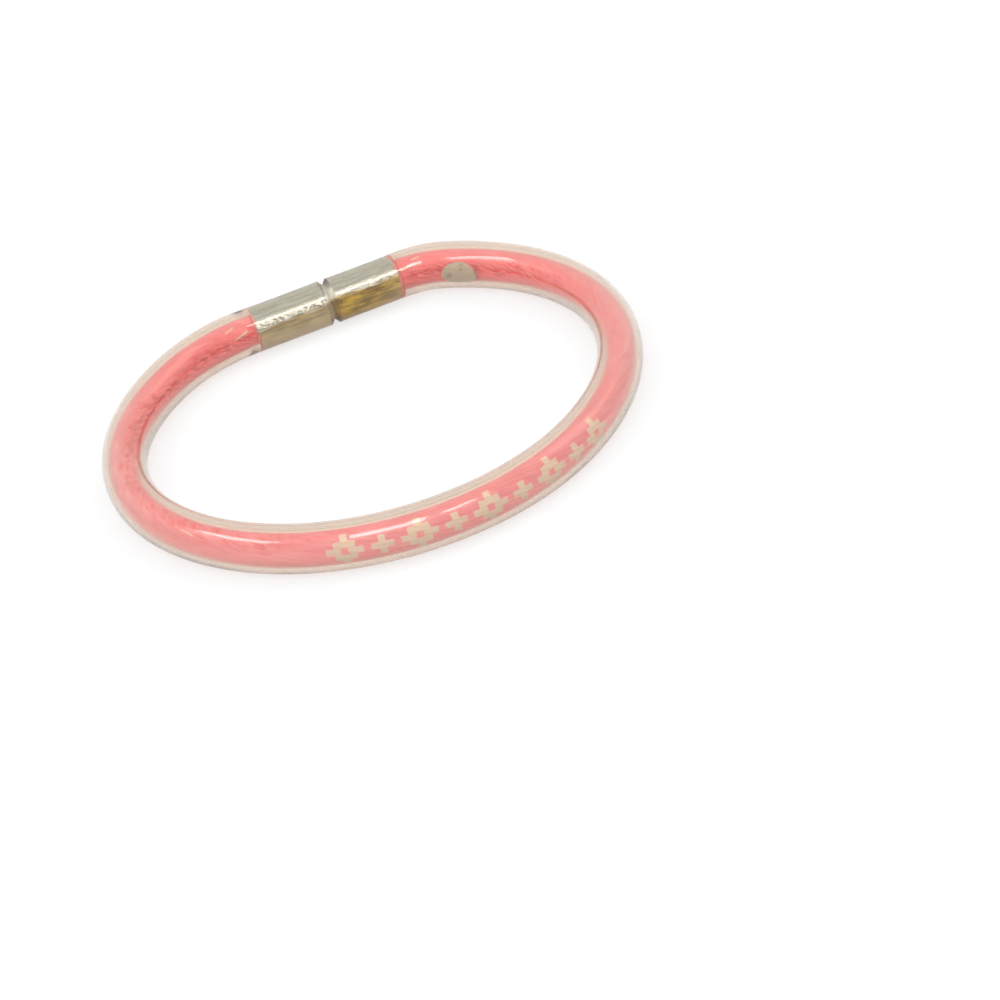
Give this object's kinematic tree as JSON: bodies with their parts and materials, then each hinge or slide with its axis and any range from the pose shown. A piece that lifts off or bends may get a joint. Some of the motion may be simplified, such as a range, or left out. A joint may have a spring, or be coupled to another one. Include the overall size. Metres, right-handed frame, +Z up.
{
  "type": "tube bracelet",
  "caption": "Round wrist bracelet made of a clear bent tube around a coral textile core, joined at the back by a straight metal barrel clasp.",
  "frame": {"origin": "on the surface that the bracelet lies on, under the middle of its loop", "axes": "+Z up out of the loop's plane, +X along the clasp towards its stud half, +Y from the front of the loop to the clasp"},
  "size_m": [0.07, 0.069, 0.006],
  "materials": {
    "clear_tube": "clear flexible plastic, glossy and a little yellowed",
    "core": "rolled satin textile in coral pink with a cream woven motif along the front",
    "clasp": "drawn and slightly tarnished",
    "plaque": "dull, stained and blank"
  },
  "bodies": {
    "root": {"tube": "clear_tube", "core": "core", "clasp_socket": "clasp", "clasp_stud": "clasp", "plaque": "plaque"}
  },
  "joints": []
}
